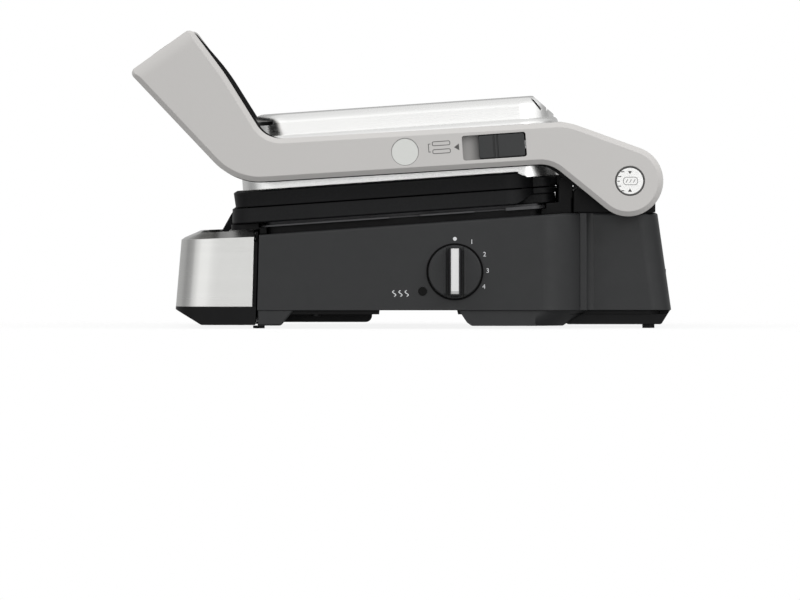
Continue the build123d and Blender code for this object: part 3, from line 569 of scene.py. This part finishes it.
# control panel: a plain symbol, numbers and OK on the keys
KEYS = {"power_button": -112, "programme_button_1": -76, "programme_button_2": -44, "ok_button": 0,
        "programme_button_3": 44, "programme_button_4": 76, "programme_button_5": 112}
for key, kx in KEYS.items():
    if key == "power_button":
        parts = [flat_mesh([stroke(arc(kx, 0, 2.7, 125, 415, 40), 0.6), stroke([(kx, 0.4), (kx, 3.7)], 0.6)], -0.02, 0.05)]
    elif key == "ok_button":
        parts = [glyphs("OK", 5.2, (kx, 0), -0.02, 0.05)]
    else:
        parts = [glyphs(key[-1], 6.0, (kx, 0), -0.02, 0.05)]
    place(key + "_mark", parts, PANEL @ Matrix.Translation((0, 0, 0.5)), PANEL_INK, key + "_body")

# small level marks on the panel between the keys, one dot for each
dots = [[circle(x, 13.2, 0.55, 20)] for x in (-112, -76, -44, 44, 76, 112)]
place("panel_marks", [flat_mesh(dots, -0.02, 0.05)], PANEL @ Matrix.Translation((0, 0, -0.4)), PANEL_INK, "arm")


# black sheet behind the lid's long front vent, bent round the front corners: a dark stand-in for the shade inside the
# lid, it keeps the slot dark
def vent_shade_sheet_mesh():
    bm = bmesh.new()
    path = [(-139.0, -225.0), (-139.0, -240.0)] + [(-119.0 + 20.0 * math.cos(math.radians(a)), -239.0 + 20.0 * math.sin(math.radians(a))) for a in range(186, 270, 6)]
    path += [(-119.0, -259.0), (-60.0, -259.0), (0.0, -259.0), (60.0, -259.0), (119.0, -259.0)]
    path += [(119.0 + 20.0 * math.cos(math.radians(a)), -239.0 + 20.0 * math.sin(math.radians(a))) for a in range(276, 360, 6)] + [(139.0, -240.0), (139.0, -225.0)]
    rows = []
    n = len(path)
    for i, p in enumerate(path):
        a = Vector(path[max(0, i - 1)])
        b = Vector(path[min(n - 1, i + 1)])
        d = (b - a).normalized()
        q = Vector((-d.y, d.x)) * 0.8
        rows.append([bm.verts.new((p[0], p[1], 54.0)), bm.verts.new((p[0], p[1], 60.6)),
                     bm.verts.new((p[0] + q.x, p[1] + q.y, 60.6)), bm.verts.new((p[0] + q.x, p[1] + q.y, 54.0))])
    for r0, r1 in zip(rows, rows[1:]):
        for k in range(4):
            bm.faces.new([r0[k], r0[(k + 1) % 4], r1[(k + 1) % 4], r1[k]])
    bm.faces.new(rows[0][::-1])
    bm.faces.new(rows[-1])
    bmesh.ops.recalc_face_normals(bm, faces=bm.faces)
    me = bpy.data.meshes.new("vent_baffle")
    bm.to_mesh(me)
    bm.free()
    return me


# painted shade: black sheet that keeps the vent slot dark
place("vent_baffle", [vent_shade_sheet_mesh()], TILT, M["black_plastic"], "lid")


def gap_shade_strip(x0, x1, y0, y1, z0, z1):
    """thin strip that closes a light gap, a dark stand-in for the shade inside the gap, edges eased"""
    bm = bmesh.new()
    bmesh.ops.create_cube(bm, size=1.0)
    for v in bm.verts:
        v.co = Vector(((x0 + x1) / 2 + v.co.x * (x1 - x0), (y0 + y1) / 2 + v.co.y * (y1 - y0), (z0 + z1) / 2 + v.co.z * (z1 - z0)))
    bmesh.ops.bevel(bm, geom=list(bm.edges), offset=0.25, segments=2, profile=0.5, affect="EDGES")
    me = bpy.data.meshes.new("gap_shade_strip")
    bm.to_mesh(me)
    bm.free()
    return me


# painted shade: black strips that fill gaps between parts where light would otherwise show through
place("gap_seals", [
    gap_shade_strip(104, 132, -99.2, -95.4, 72.0, 75.2),
    gap_shade_strip(104, 132, -102.0, -100.0, 68.35, 70.3),
    gap_shade_strip(104, 132, 99.3, 101.4, 87.0, 89.0),
], BASE, M["black_plastic"], "base")

# ------------------------------------------------------------------ studio
scene = bpy.context.scene
scene.view_settings.view_transform = "Standard"
scene.view_settings.look = "None"
scene.view_settings.exposure = 0.0
scene.view_settings.gamma = 1.0

world = bpy.data.worlds.new("studio")
scene.world = world
world.use_nodes = True
w = G("studio", world.node_tree)
wout = w.n("OutputWorld")
gen = w.n("TexCoord").outputs["Generated"]
sp = w.n("SeparateXYZ")
w.l(gen, sp.inputs[0])
x_, y_, z_ = sp.outputs
flat = w.math("SQRT", w.math("ADD", w.math("MULTIPLY", x_, x_), w.math("ADD", w.math("MULTIPLY", y_, y_), 0.0004)))
turn = w.math("MULTIPLY", w.math("SUBTRACT", 1.0, w.math("DIVIDE", x_, flat)), 0.5)


def ramp_of(stops, kind="EASE"):
    r = w.n("ValToRGB")
    r.color_ramp.interpolation = kind
    while len(r.color_ramp.elements) < len(stops):
        r.color_ramp.elements.new(0.5)
    for e, (deg, v) in zip(r.color_ramp.elements, stops):
        e.position = (1 - math.cos(math.radians(deg))) / 2
        e.color = (v, v, v, 1.0)
    return r.outputs[0]


# round the horizon: bright wings beside the camera, dark flags at front and back, dim behind
near = ramp_of(((0, 1.10), (14, 1.17), (30, 1.28), (52, 1.25), (68, 0.95), (86, 0.46), (104, 0.36), (126, 0.5), (180, 0.5)))
w.l(turn, near.node.inputs[0])
# higher up: softer version of the same
high = ramp_of(((0, 0.86), (40, 0.98), (80, 0.7), (110, 0.6), (180, 0.42)))
w.l(turn, high.node.inputs[0])
mid = w.rng(z_, 0.16, 0.6, 0.0, 1.0, "SMOOTHSTEP")
up = w.rng(z_, 0.70, 0.96, 0.0, 1.0, "SMOOTHSTEP")
sky = w.math("ADD", w.math("MULTIPLY", near, w.math("SUBTRACT", 1.0, mid)), w.math("MULTIPLY", high, mid))
sky = w.math("ADD", w.math("MULTIPLY", sky, w.math("SUBTRACT", 1.0, up)), w.math("MULTIPLY", up, 0.8))
low = w.rng(z_, -0.26, -0.03, 1.0, 0.0, "SMOOTHSTEP")
sky = w.math("ADD", w.math("MULTIPLY", sky, w.math("SUBTRACT", 1.0, low)), w.math("MULTIPLY", low, 0.16))
bg = w.n("Background")
w.l(sky, bg.inputs["Strength"])
bg.inputs["Color"].default_value = (1.0, 1.0, 1.0, 1.0)
seen = w.n("Background")
seen.inputs["Color"].default_value = (1.0, 1.0, 1.0, 1.0)
seen.inputs["Strength"].default_value = 1.0
mixw = w.n("MixShader")
w.l(w.n("LightPath").outputs["Is Camera Ray"], mixw.inputs[0])
w.l(bg.outputs[0], mixw.inputs[1])
w.l(seen.outputs[0], mixw.inputs[2])
w.l(mixw.outputs[0], wout.inputs["Surface"])


def softbox(name, at, size, power):
    li = bpy.data.lights.new(name, "AREA")
    li.shape = "RECTANGLE"
    li.size, li.size_y = size
    li.energy = power
    ob = bpy.data.objects.new(name, li)
    scene.collection.objects.link(ob)
    ob.location = at
    ob.rotation_mode = "QUATERNION"
    ob.rotation_quaternion = (Vector((0.0, 0.0, 0.08)) - Vector(at)).to_track_quat("-Z", "Y")
    return ob


softbox("front_softbox", (1.3, -1.9, 1.7), (1.2, 1.2), 22.0)
softbox("rear_softbox", (1.2, 1.6, 1.5), (1.2, 1.2), 26.0)
softbox("side_softbox", (1.24, 0.46, 0.26), (0.32, 0.9), 0.9)
softbox("back_softbox", (-1.3, -1.8, 1.6), (1.2, 1.2), 16.0)
for box_name in ("front_softbox", "rear_softbox", "back_softbox"):
    if box_name in bpy.data.objects:
        bpy.data.objects[box_name].visible_glossy = False          # no hot patch on the flat lid

# pale floor that fades out with distance
bm = bmesh.new()
bmesh.ops.create_circle(bm, cap_ends=True, cap_tris=True, segments=96, radius=1.6)
fm = bpy.data.meshes.new("floor")
bm.to_mesh(fm)
bm.free()
floor = bpy.data.objects.new("floor", fm)
scene.collection.objects.link(floor)
floor.location = (0.0, 0.0, -0.0002)
fl = G("floor_look")
d = fl.vmath("LENGTH", fl.co)
grain = fl.noise(300.0, 2.0, 0.5)
fl.set(Base_Color=fl.tone((0.86, 0.86, 0.86), fl.rng(grain, 0.3, 0.7, 0.995, 1.005)), Roughness=0.75)
fl.set(**{"Specular_IOR_Level": 0.2})
clear = fl.n("BsdfTransparent")
fade = fl.n("MixShader")
fl.l(fl.rng(d, 0.20, 0.55, 0.88, 1.0, "SMOOTHSTEP"), fade.inputs[0])
fl.l(fl.b.outputs[0], fade.inputs[1])
fl.l(clear.outputs[0], fade.inputs[2])
fl.l(fade.outputs[0], fl.out.inputs["Surface"])
fm.materials.append(fl.m)

# camera: level side view from the knob side, long lens
cam_data = bpy.data.cameras.new("camera")
cam = bpy.data.objects.new("camera", cam_data)
scene.collection.objects.link(cam)
target = Vector((0.170, -0.0013, 0.0201))
elev = math.radians(0.5)
dist = 17.0
cam.location = target + Vector((math.cos(elev), 0.0, math.sin(elev))) * dist
cam.rotation_mode = "QUATERNION"
cam.rotation_quaternion = (target - cam.location).to_track_quat("-Z", "Y")
cam_data.sensor_width = 36.0
cam_data.lens = 36.0 * dist / (800 * 0.705e-3)
cam_data.clip_start = 0.02
cam_data.clip_end = 60.0
scene.camera = cam
